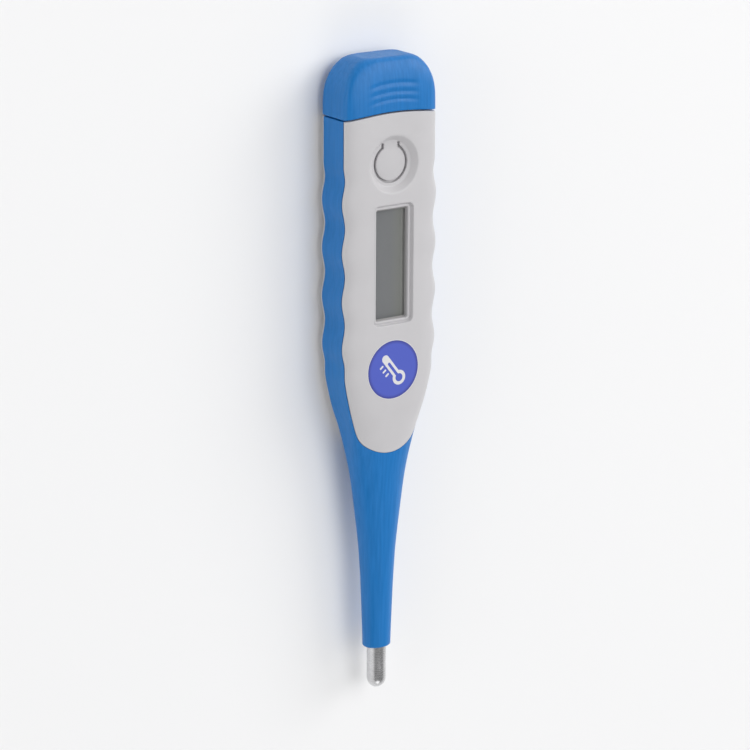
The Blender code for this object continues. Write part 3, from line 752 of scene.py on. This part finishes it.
def make_back_shell():
    """The back shell, with a label panel that stands a little proud of it."""
    face = make_plate("back_shell_face", -1)
    low, high = PANEL_SPAN
    top = FACE + PANEL_RISE
    rings = []
    for shrink, height in ((0.0, FACE - 0.6), (0.0, top - 0.1), (0.03, top - 0.03), (0.1, top)):
        half = (0.5 * (high - low) - shrink, PANEL_HALF - shrink)
        plan = rounded_rectangle((0.5 * (low + high), 0.0), half, PANEL_CORNER - shrink)
        rings.append(raised(plan, -height))
    carve(face, loft("panel", rings), "UNION")
    arch(face, ARCH_FULL, ARCH_START)
    smooth(face, FACE_SHARP)
    tub = make_tub("back_shell_tub", -1)
    for piece in (face, tub):
        dress(piece, "shell_plastic", "housing", "back_shell")


def make_button():
    """The button tongue. Its stem runs into the dish floor, so that it bends at its root."""
    end = TONGUE_END + TONGUE_ROOT
    tongue = button_loft("power_button_tongue", TONGUE_LEVELS, end)
    carve(tongue, turned_solid("post", POST_PROFILE, BUTTON_CENTRE, "Z", 32), "UNION")
    work = bmesh.new()
    work.from_mesh(tongue.data)
    for distance in spread(TONGUE_CUTS, end - 0.1, 14):
        geometry = work.verts[:] + work.edges[:] + work.faces[:]
        bmesh.ops.bisect_plane(work, geom=geometry, plane_co=at(distance), plane_no=(1.0, 0.0, 0.0))
    work.to_mesh(tongue.data)
    work.free()
    smooth(tongue, FACE_SHARP)
    paint(tongue, "shell_plastic")
    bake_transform(tongue)
    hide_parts("power_button")


# Blue soft parts.


def ring_at(distance, inset=0.0):
    return [at(distance, *point) for point in Section(distance).ring(inset)]


def housing_plan():
    """Plan of the room for the inner wall, which is open at the battery end."""
    plan = []
    for distance, half in tub_outline(0.0):
        end = distance + HOUSING_OPEN if distance == TUB_END else distance - HOUSING_AIR
        plan.append((end, math.copysign(abs(half) + HOUSING_AIR, half)))
    return plan


def make_sleeve():
    rings = [ring_at(distance) for distance in spaced(NECK_ROOT, SHELL_END, SLEEVE_PITCH)]
    sleeve = loft("grip_sleeve_skin", rings)
    for side in (1, -1):
        carve(sleeve, plate_room("plate_room", side))
    carve(sleeve, prism("housing_room", housing_plan(), -BEYOND, BEYOND))
    low, high = ROOT_BORE
    profile = ((0.0, low), (NECK_BORE, low), (NECK_BORE, high), (0.0, high))
    carve(sleeve, turned_solid("root_bore", profile, 0.0, "X", 32))
    arch(sleeve, ARCH_FULL, ARCH_START)
    smooth(sleeve, SLEEVE_SHARP)
    dress(sleeve, "grip_elastomer", "housing", "grip_sleeve")


def neck_length(name, low, high, lip):
    """One length of the neck between two seams, with its bore and perhaps a rounded lip."""
    rings = []
    if lip:
        for turn in spread(0.5 * math.pi, 0.0, 5)[:-1]:
            distance = low + LIP_RADIUS * (1.0 - math.sin(turn))
            rings.append(ring_at(distance, LIP_RADIUS * (1.0 - math.cos(turn))))
        low += LIP_RADIUS
    rings += [ring_at(distance) for distance in spaced(low, high, NECK_PITCH)]
    start = (rings[0][0].x - CAD_LOW.x) / MM
    bore = circle(NECK_BORE, 4 * RING_STEPS)
    rings += [[at(distance, *point) for point in bore] for distance in spaced(high, start, 0.5)]
    return tube(name, rings)


def make_neck():
    """The neck, in lengths between the middles of its stiff segments; each bends at one hinge."""
    middles = [0.5 * (first + second) for first, second in zip(NECK_HINGES, NECK_HINGES[1:])]
    seams = [NECK_ROOT, *middles, NECK_END]
    for number, hinge in enumerate(NECK_HINGES):
        last = number == len(NECK_HINGES) - 1
        piece = neck_length(f"neck_length_{number + 1}", seams[number + 1], seams[number], last)
        paint(piece, "grip_elastomer")
        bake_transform(piece)
        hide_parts(f"neck_segment_{number + 1}")


def groove(distance, across):
    """Depth of the thumb grooves across each face of the battery cap."""
    depth = 0.0
    for place in GROOVES:
        bow = place - GROOVE_BOW * across * across
        depth += GROOVE_DEPTH * math.exp(-((distance - bow) / GROOVE_WIDTH) ** 2)
    return depth * (1.0 - smoothstep(*GROOVE_FADE, abs(across)))


def cap_ring(distance, inset=0.0):
    """A ring of the cap, with its thumb grooves."""
    ring = []
    for across, height in Section(distance).ring(inset):
        if abs(height) > GROOVE_LOWEST:
            height -= math.copysign(groove(distance, across), height)
        ring.append(at(distance, across, height))
    return ring


def cavity_ring(distance, shrink=0.0):
    """A rounded rectangle with as many points as a section's ring, starting at +Y."""
    half, height = (size - shrink for size in CAVITY_HALF)
    path = [(half, 0.0), *round_corner(half, height, CAVITY_CORNER, 12), (0.0, height)]
    return [at(distance, *point) for point in all_round(evenly(path, RING_STEPS))]


def cap_outside():
    """Rings of the cap from its rounded mouth over the outside to the middle of its flat end."""
    rings = []
    for turn in spread(0.5 * math.pi, 0.0, 4):
        place = CAP_START + CAP_RIM * (1.0 - math.sin(turn))
        rings.append(cap_ring(place, CAP_RIM * (1.0 - math.cos(turn))))
    for distance in spaced(CAP_START + CAP_RIM, CAP_EVEN_END, CAP_PITCH)[1:]:
        rings.append(cap_ring(distance))
    reach = LENGTH - CAP_ROUND_START
    first_turn = math.asin((CAP_EVEN_END - CAP_ROUND_START) / reach)
    for turn in spread(first_turn, 0.5 * math.pi, 30)[1:]:
        distance = CAP_ROUND_START + reach * math.sin(turn)
        into = max(0.0, distance - LENGTH + CAP_END_RADIUS)
        inset = CAP_END_RADIUS - math.sqrt(max(0.0, CAP_END_RADIUS ** 2 - into ** 2))
        rings.append(cap_ring(distance, inset))
    outer_end = rings[-1]
    middle = at(LENGTH)
    for share in (0.93, 0.5, 0.0):
        rings.append([middle + (point - middle) * share for point in outer_end])
    return rings


def cap_inside():
    """Rings of the cap's hollow from its bevelled mouth to the middle of its end."""
    rings = [cavity_ring(CAP_START, -CAVITY_BEVEL), cavity_ring(CAP_START + CAVITY_BEVEL)]
    straight = spaced(CAP_START + 0.4, CAVITY_END - CAVITY_END_RADIUS, 1.0)
    rings += [cavity_ring(distance) for distance in straight]
    rings.append(cavity_ring(CAVITY_END, CAVITY_END_RADIUS))
    return rings + [[at(CAVITY_END)] * (4 * RING_STEPS)]


def make_cap():
    rings = list(reversed(cap_inside())) + cap_outside()
    cap = loft("battery_cap_skin", rings, flat=())
    arch(cap, CAP_ARCH_FULL, ARCH_END)
    dress(cap, "grip_elastomer", "cap", "battery_cap")


def make_probe_tip():
    """The steel tip, as a thin shell that is open at the neck end."""
    profile = []
    for turn in spread(0.0, 0.5 * math.pi, 18):
        profile.append((PROBE_RADIUS * math.sin(turn), PROBE_DOME * (1.0 - math.cos(turn))))
    profile += [(PROBE_RADIUS, along) for along in spaced(PROBE_DOME, PROBE_END, 0.8)[1:]]
    profile += [(PROBE_BORE, PROBE_END), (PROBE_BORE, PROBE_DOME)]
    profile += [(0.8 * PROBE_BORE, 1.0), (0.0, PROBE_WALL)]
    tip = turned_solid("probe_tip_steel", profile, 0.0, "X", 72)
    dress(tip, "probe_steel", "neck_6", "probe_tip")


# Printed badge.


def printed(name, outlines, lift):
    """Thin films printed on the crowned front, one for each outline of (distance, across)."""
    work = bmesh.new()
    for outline in outlines:
        face = work.faces.new([work.verts.new((d, y, 0.0)) for d, y in outline])
        bmesh.ops.triangulate(work, faces=[face])
    bmesh.ops.subdivide_edges(work, edges=work.edges, cuts=2, use_grid_fill=True)
    bmesh.ops.triangulate(work, faces=work.faces)
    film = bmesh.ops.extrude_face_region(work, geom=work.faces[:], use_keep_orig=True)
    upper = {item for item in film["geom"] if isinstance(item, bmesh.types.BMVert)}
    for vert in work.verts:
        depth = lift if vert in upper else -PRINT_SINK
        vert.co.z = Section(vert.co.x).height_at(vert.co.y) + depth
        vert.co = at(*vert.co)
    return finish_mesh(name, work, PRINT_SHARP)


def bulb_and_stem(bulb, stem, foot, top):
    """Outline of a plain thermometer sign: a round bulb with a straight stem and a round end."""
    join = math.asin(stem / bulb)
    points = []
    for turn in spread(join, 2.0 * math.pi - join, 32):
        points.append((foot + bulb * math.cos(turn), bulb * math.sin(turn)))
    for turn in spread(-0.5 * math.pi, 0.5 * math.pi, 12):
        points.append((top + stem * math.cos(turn), stem * math.sin(turn)))
    return points


def on_badge(points, turn=0.0):
    cos, sin = math.cos(turn), math.sin(turn)
    return [(BADGE_CENTRE + x * cos - y * sin, x * sin + y * cos) for x, y in points]


def make_badge():
    """A disc with a generic thermometer sign and three ticks; each print lies over the last."""
    ticks = [rounded_rectangle((place, 1.75), (0.2, 0.5), 0.19, 4) for place in TICK_PLACES]
    sign = [bulb_and_stem(bulb=1.55, stem=0.85, foot=-2.3, top=3.1), *ticks]
    column = bulb_and_stem(bulb=0.85, stem=0.3, foot=-2.3, top=1.7)
    prints = (
        ("badge_outline", "badge_light", [on_badge(circle(BADGE_RADIUS + BADGE_RIM))], 0.012),
        ("badge_disc", "badge_blue", [on_badge(circle(BADGE_RADIUS))], 0.025),
        ("badge_sign", "badge_light", [on_badge(points, BADGE_TILT) for points in sign], 0.04),
        ("badge_column", "badge_blue", [on_badge(column, BADGE_TILT)], 0.055),
    )
    for name, finish, outlines, lift in prints:
        dress(printed(name, outlines, lift), finish, "housing", slot="shell_plastic")


# Materials.


def set_inputs(node, **values):
    """Set a node's sockets, named with underscores for spaces."""
    for socket, value in values.items():
        node.inputs[socket.replace("_", " ")].default_value = value


class Finish:
    """A node material that is built up step by step."""

    def __init__(self, name, colour, roughness, **sockets):
        self.material = bpy.data.materials.new(name)
        self.material.use_nodes = True
        self.tree = self.material.node_tree
        self.shader = self.tree.nodes["Principled BSDF"]
        set_inputs(self.shader, Base_Color=(*colour, 1.0), Roughness=roughness, **sockets)
        self.place = self.tree.nodes.new("ShaderNodeTexCoord").outputs["Object"]

    def node(self, kind, **settings):
        made = self.tree.nodes.new(kind)
        for name, value in settings.items():
            setattr(made, name, value)
        return made

    def link(self, source, socket):
        self.tree.links.new(source, socket)

    def noise(self, pitch, detail=3.0, stretch=(1.0, 1.0, 1.0)):
        """Noise with features about pitch millimetres apart, stretched by the given factors."""
        scaled = self.node("ShaderNodeMapping")
        set_inputs(scaled, Scale=[1.0 / factor for factor in stretch])
        self.link(self.place, scaled.inputs["Vector"])
        noise = self.node("ShaderNodeTexNoise")
        set_inputs(noise, Scale=1.0 / (pitch * MM), Detail=detail)
        self.link(scaled.outputs["Vector"], noise.inputs["Vector"])
        return noise.outputs["Fac"]

    def between(self, value, low, high, start=0.3, end=0.7):
        """Map a value from start..end to low..high."""
        mapped = self.node("ShaderNodeMapRange")
        set_inputs(mapped, From_Min=start, From_Max=end, To_Min=low, To_Max=high)
        self.link(value, mapped.inputs["Value"])
        return mapped.outputs["Result"]

    def colours(self, value, *stops):
        """Colour from a value through stops of (position, colour)."""
        ramp = self.node("ShaderNodeValToRGB")
        elements = ramp.color_ramp.elements
        while len(elements) < len(stops):
            elements.new(0.5)
        for element, (position, colour) in zip(elements, stops):
            element.position = position
            element.color = (*colour, 1.0)
        self.link(value, ramp.inputs["Fac"])
        self.link(ramp.outputs["Color"], self.shader.inputs["Base Color"])

    def rough(self, value, low, high):
        self.link(self.between(value, low, high), self.shader.inputs["Roughness"])

    def bump(self, value, depth, strength=1.0):
        """Raise the surface by up to depth millimetres where the value is 1."""
        bump = self.node("ShaderNodeBump")
        set_inputs(bump, Distance=depth * MM, Strength=strength)
        self.link(value, bump.inputs["Height"])
        last = self.shader.inputs["Normal"]
        if last.is_linked:
            self.link(last.links[0].from_socket, bump.inputs["Normal"])
        self.link(bump.outputs["Normal"], last)


def shades(colour, amount):
    return tuple(min(1.0, channel * amount) for channel in colour)


# Moulded and coated finishes, as (colour, roughness, grain in mm, its depth in mm, tone spread).
MOULDED = {
    "shell_plastic": ((0.56, 0.55, 0.565), 0.44, 0.16, 0.01, 0.012),
    "display_glass": ((0.33, 0.35, 0.33), 0.1, 0.5, 0.001, 0.04),
    "reflector_film": ((0.5, 0.52, 0.47), 0.3, 0.08, 0.002, 0.04),
    "seal_foam": ((0.05, 0.05, 0.05), 0.9, 0.12, 0.06, 0.3),
    "seal_rubber": ((0.025, 0.025, 0.027), 0.55, 0.2, 0.008, 0.15),
    "inner_plastic": ((0.72, 0.72, 0.69), 0.5, 0.16, 0.01, 0.04),
    "chip_epoxy": ((0.012, 0.012, 0.013), 0.3, 0.6, 0.02, 0.3),
    "chip_ceramic": ((0.5, 0.38, 0.26), 0.5, 0.08, 0.004, 0.1),
    "resistor_body": ((0.035, 0.035, 0.04), 0.45, 0.1, 0.004, 0.2),
    "piezo_ceramic": ((0.7, 0.68, 0.6), 0.4, 0.1, 0.004, 0.05),
    "thermistor_bead": ((0.05, 0.045, 0.04), 0.12, 0.4, 0.004, 0.2),
    "potting_resin": ((0.3, 0.2, 0.08), 0.2, 0.8, 0.02, 0.15),
    "lead_insulation": ((0.45, 0.05, 0.035), 0.45, 0.3, 0.004, 0.08),
    "border_grey": ((0.31, 0.305, 0.305), 0.45, 0.1, 0.003, 0.02),
    "badge_light": ((0.72, 0.72, 0.73), 0.45, 0.1, 0.003, 0.02),
}

# Drawn and turned metals, as (colour, roughness, stretch and pitch of the tool marks, anisotropy).
METALS = {
    "probe_steel": ((0.66, 0.66, 0.67), 0.24, (1.0, 30.0, 30.0), 0.05, 0.4),
    "spring_steel": ((0.6, 0.6, 0.6), 0.3, (25.0, 1.0, 1.0), 0.05, 0.0),
    "screw_steel": ((0.55, 0.55, 0.57), 0.34, (1.0, 1.0, 8.0), 0.12, 0.0),
    "cell_steel": ((0.64, 0.64, 0.62), 0.22, (1.0, 1.0, 20.0), 0.08, 0.0),
    "contact_brass": ((0.72, 0.54, 0.28), 0.3, (25.0, 1.0, 1.0), 0.05, 0.0),
    "buzzer_brass": ((0.7, 0.5, 0.22), 0.34, (25.0, 1.0, 1.0), 0.05, 0.0),
}


def moulded(name, colour, roughness, grain, depth, tone_spread):
    """A fine grain, as of a spark-eroded mould, and slow uneven tone and gloss."""
    finish = Finish(name, colour, roughness)
    dark, light = shades(colour, 1.0 - tone_spread), shades(colour, 1.0 + tone_spread)
    finish.colours(finish.noise(5.0, 2.0), (0.3, dark), (0.7, light))
    finish.rough(finish.noise(1.4), roughness - 0.05, roughness + 0.06)
    finish.bump(finish.noise(grain, 2.0), depth)
    return finish.material


def elastomer():
    """Soft blue elastomer with faint lengthwise flow streaks."""
    low, high = (0.003, 0.155, 0.46), (0.01, 0.18, 0.52)
    finish = Finish("grip_elastomer", low, 0.42, Specular_IOR_Level=0.35)
    streaks = finish.noise(0.5, 3.0, (24.0, 1.0, 1.0))
    finish.colours(streaks, (0.32, low), (0.68, high))
    finish.rough(finish.noise(0.9, 3.0, (6.0, 1.0, 1.0)), 0.36, 0.48)
    finish.bump(streaks, 0.004, 0.5)
    finish.bump(finish.noise(0.14, 2.0), 0.004)
    return finish.material


def metal(name, colour, roughness, stretch, pitch, anisotropy):
    """Drawn or turned metal, with fine tool marks stretched one way."""
    finish = Finish(name, colour, roughness, Metallic=1.0, Anisotropic=anisotropy)
    marks = finish.noise(pitch, 2.0, stretch)
    finish.colours(finish.noise(2.0), (0.3, shades(colour, 0.93)), (0.7, shades(colour, 1.05)))
    finish.rough(marks, roughness - 0.06, roughness + 0.08)
    finish.bump(marks, 0.001)
    return finish.material


def badge_blue():
    """Printed violet blue, darker toward the rim of the disc."""
    finish = Finish("badge_blue", (0.09, 0.11, 0.48), 0.42)
    centre = finish.node("ShaderNodeVectorMath", operation="DISTANCE")
    finish.link(finish.place, centre.inputs[0])
    centre.inputs[1].default_value = at(BADGE_CENTRE, 0.0, FACE)
    inner, edge = (BADGE_RADIUS - 0.75) * MM, (BADGE_RADIUS - 0.1) * MM
    share = finish.between(centre.outputs["Value"], 0.0, 1.0, inner, edge)
    field, shade, rim = (0.075, 0.11, 0.52), (0.06, 0.08, 0.4), (0.045, 0.055, 0.3)
    finish.colours(share, (0.0, field), (0.6, shade), (1.0, rim))
    finish.bump(finish.noise(0.1, 2.0), 0.003)
    return finish.material


def polariser():
    """The blank display: grey, slightly olive toward one side. Near that edge, and in a rim under
    the frame, it is painted pale as painted light against the shadow of the frame's overhang.
    """
    finish = Finish("polariser_film", (0.2, 0.2, 0.2), 0.3, Coat_Weight=0.3, Coat_Roughness=0.1)
    apart = finish.node("ShaderNodeSeparateXYZ")
    finish.link(finish.place, apart.inputs["Vector"])
    reach = 5.0 * MM
    share = finish.between(apart.outputs["Y"], 1.0, 0.0, -reach, reach)
    # painted light: the rim under the frame is painted pale to cancel the shadow that the frame's
    # overhang casts on the display
    painted_light_rim = (0.7, 0.7, 0.68)
    stops = (
        (0.06, painted_light_rim),
        (0.11, (0.193, 0.201, 0.213)),
        (0.55, (0.201, 0.208, 0.215)),
        # olive tint toward one side; past it the colour turns pale toward the edge, as painted
        # light against the frame's shadow
        (0.79, (0.238, 0.245, 0.222)),
        (0.86, (0.42, 0.42, 0.395)),
        (0.93, painted_light_rim),
    )
    finish.colours(share, *stops)
    finish.bump(finish.noise(0.3, 2.0), 0.001)
    return finish.material


def clear_lens():
    finish = Finish("clear_lens", (0.3, 0.31, 0.31), 0.06, Alpha=0.12, Specular_IOR_Level=0.6)
    finish.rough(finish.noise(3.0), 0.04, 0.08)
    return finish.material


def board():
    """Green solder mask with darker copper-free lanes between broad tracks."""
    finish = Finish("board_laminate", (0.03, 0.2, 0.07), 0.35, Coat_Weight=0.4, Coat_Roughness=0.2)
    bricks = finish.node("ShaderNodeTexBrick")
    finish.link(finish.place, bricks.inputs["Vector"])
    set_inputs(bricks, Scale=600.0, Mortar_Size=0.03, Brick_Width=2.0, Row_Height=0.6)
    finish.colours(bricks.outputs["Fac"], (0.0, (0.035, 0.22, 0.08)), (1.0, (0.015, 0.12, 0.04)))
    finish.bump(bricks.outputs["Fac"], 0.03, 0.5)
    return finish.material


def layered_rubber():
    """A zebra strip: thin conducting and insulating layers in turn."""
    finish = Finish("strip_rubber", (0.3, 0.3, 0.32), 0.6)
    bands = finish.node("ShaderNodeTexWave", bands_direction="Y")
    set_inputs(bands, Scale=1200.0)
    finish.link(finish.place, bands.inputs["Vector"])
    finish.colours(bands.outputs["Fac"], (0.4, (0.03, 0.03, 0.03)), (0.6, (0.55, 0.56, 0.6)))
    finish.bump(bands.outputs["Fac"], 0.01)
    return finish.material


MATERIALS = {
    **{name: moulded(name, *look) for name, look in MOULDED.items()},
    **{name: metal(name, *look) for name, look in METALS.items()},
    "grip_elastomer": elastomer(),
    "clear_lens": clear_lens(),
    "polariser_film": polariser(),
    "strip_rubber": layered_rubber(),
    "board_laminate": board(),
    "badge_blue": badge_blue(),
}


def paint(piece, finish):
    piece.data.materials.clear()
    piece.data.materials.append(MATERIALS[finish])


def dress(piece, finish, body, *nodes, slot=None):
    """Give a piece its finish and its body, and let it stand for CAD nodes."""
    paint(piece, finish)
    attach(piece, body)
    if nodes:
        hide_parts(*nodes)


def finish_inner_nodes():
    """The CAD nodes that still show, mostly inside, get the finish of their own slot."""
    for part in frame["record"]["subparts"]:
        node = frame["nodes"][part["node"]]
        if node.hide_render:
            continue
        for place in node.material_slots:
            place.material = MATERIALS[part["material_slot"]]


# Camera, light and floor.


FLOOR_REACH = 8.0             # in metres, as the distances and sizes below are
FLOOR_LEVEL = -0.05 * MM      # just under the resting face
TOWARD_CAMERA = Vector((0.277, 0.544, 0.792)).normalized()
CAMERA_DISTANCE = 0.68
CAMERA_LENS = 160.0
CAMERA_ROLL = math.radians(0.3)
AIM = at(67.5, 0.0, -1.0)
LIGHT_DISTANCE = 2.5

# Square soft lights, as (name, direction from the object, size, watts).
LIGHTS = (
    ("key", (0.3, -0.2, 0.93), 2.2, 34.6),
    ("side_key", (0.4, -0.8, 0.5), 1.4, 21.5),
    ("side_fill", (0.1, 0.95, 0.22), 1.3, 7.0),
    ("tip_fill", (-0.8, 0.1, 0.6), 1.4, 7.0),
)


def make_stage():
    floor = bpy.data.meshes.new("floor")
    low, high = -FLOOR_REACH, FLOOR_REACH
    corners = [(low, low), (high, low), (high, high), (low, high)]
    floor.from_pydata([(x, y, FLOOR_LEVEL) for x, y in corners], [], [(0, 1, 2, 3)])
    item = new_object("floor", floor)
    finish = Finish("floor_paper", (0.9, 0.9, 0.905), 0.7)
    finish.bump(finish.noise(1.5), 0.01, 0.3)
    floor.materials.append(finish.material)


def make_camera():
    camera = bpy.data.cameras.new("camera")
    item = new_object("camera", camera)
    camera.lens = CAMERA_LENS
    camera.sensor_width = 36.0
    up = Vector((1.0, 0.0, 0.0))
    right = up.cross(TOWARD_CAMERA).normalized()
    up = TOWARD_CAMERA.cross(right)
    turn = Matrix((right, up, TOWARD_CAMERA)).transposed()
    turn = turn @ Matrix.Rotation(CAMERA_ROLL, 3, "Z")
    item.matrix_world = Matrix.Translation(AIM + CAMERA_DISTANCE * TOWARD_CAMERA) @ turn.to_4x4()
    camera.clip_start = 0.01
    bpy.context.scene.camera = item


def make_light(name, toward, size, power):
    """A square soft light, placed in a direction from the object and pointed at it."""
    light = bpy.data.lights.new(name, "AREA")
    light.energy = power
    light.size = size
    item = new_object(name, light)
    toward = Vector(toward).normalized()
    item.location = AIM + LIGHT_DISTANCE * toward
    item.rotation_mode = "QUATERNION"
    item.rotation_quaternion = toward.to_track_quat("Z", "Y")


def make_world():
    """A studio that is bright near the horizon and dimmer overhead."""
    world = bpy.data.worlds.new("studio")
    world.use_nodes = True
    tree = world.node_tree
    place = tree.nodes.new("ShaderNodeTexCoord")
    apart = tree.nodes.new("ShaderNodeSeparateXYZ")
    tree.links.new(place.outputs["Generated"], apart.inputs["Vector"])
    dim = tree.nodes.new("ShaderNodeMapRange")
    dim.interpolation_type = "SMOOTHSTEP"
    set_inputs(dim, From_Min=0.22, From_Max=0.7, To_Min=0.8, To_Max=0.26)
    tree.links.new(apart.outputs["Z"], dim.inputs["Value"])
    tree.links.new(dim.outputs["Result"], tree.nodes["Background"].inputs["Strength"])
    set_inputs(tree.nodes["Background"], Color=(1.0, 1.0, 1.0, 1.0))
    bpy.context.scene.world = world


make_stage()
make_camera()
make_world()
for row in LIGHTS:
    make_light(*row)
bpy.context.scene.view_settings.view_transform = "Standard"
make_front_shell()
make_window_border()
make_back_shell()
make_button()
make_sleeve()
make_neck()
make_cap()
make_probe_tip()
make_badge()
finish_inner_nodes()
